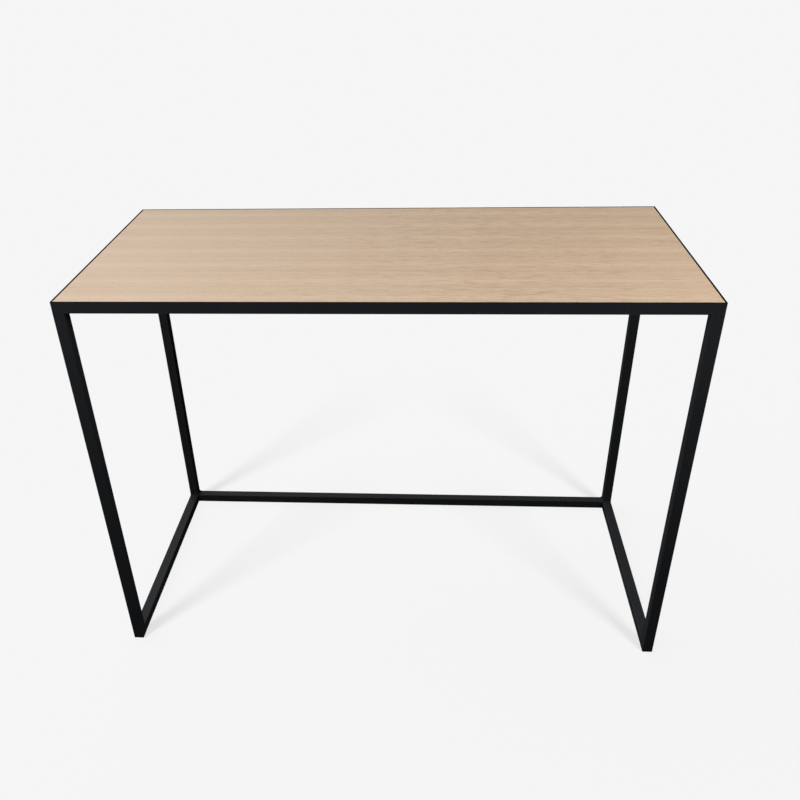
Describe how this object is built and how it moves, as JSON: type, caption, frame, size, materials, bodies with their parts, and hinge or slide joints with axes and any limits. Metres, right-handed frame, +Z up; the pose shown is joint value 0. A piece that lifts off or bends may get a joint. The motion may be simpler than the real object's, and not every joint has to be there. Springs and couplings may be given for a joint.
{
  "type": "writing desk",
  "caption": "Slim writing desk: a welded square-tube frame with floor rails at the sides and rear, and an oak-veneered board let flush into a thin steel lip.",
  "frame": {"origin": "on the floor, in the middle of the footprint", "axes": "+X to the right along the desk's length, +Y from the front to the rear, +Z up"},
  "size_m": [1.075, 0.5, 0.7635],
  "materials": {
    "powder_coat": "satin black powder coat, fine orange peel",
    "oak_face": "straight-grained oak veneer, matt water-based lacquer",
    "oak_backing": "oak balancing veneer, sanded and sealed",
    "oak_edge": "oak edging, matt lacquer",
    "board_core": "raw fibreboard",
    "screw_zinc": "bright zinc plate",
    "floor_pad": "matt black rubber"
  },
  "bodies": {
    "root": {"top_rail_front": "powder_coat", "top_rail_rear": "powder_coat", "top_rail_left": "powder_coat", "top_rail_right": "powder_coat", "leg_front_left": "powder_coat", "leg_front_right": "powder_coat", "leg_rear_left": "powder_coat", "leg_rear_right": "powder_coat", "leg_end_plate_front_left": "powder_coat", "leg_end_plate_front_right": "powder_coat", "leg_end_plate_rear_left": "powder_coat", "leg_end_plate_rear_right": "powder_coat", "floor_rail_left": "powder_coat", "floor_rail_right": "powder_coat", "floor_rail_rear": "powder_coat", "weld_side_rail_front_left": "powder_coat", "weld_side_rail_front_right": "powder_coat", "weld_side_rail_rear_left": "powder_coat", "weld_side_rail_rear_right": "powder_coat", "weld_rear_rail_left": "powder_coat", "weld_rear_rail_right": "powder_coat", "desktop_core": "board_core", "desktop_face_veneer": "oak_face", "desktop_backing_veneer": "oak_backing", "edge_band_front": "oak_edge", "edge_band_rear": "oak_edge", "edge_band_left": "oak_edge", "edge_band_right": "oak_edge", "panel_screws": "screw_zinc", "floor_pad_front_left": "floor_pad", "floor_pad_front_right": "floor_pad", "floor_pad_rear_left": "floor_pad", "floor_pad_rear_right": "floor_pad"}
  },
  "joints": []
}
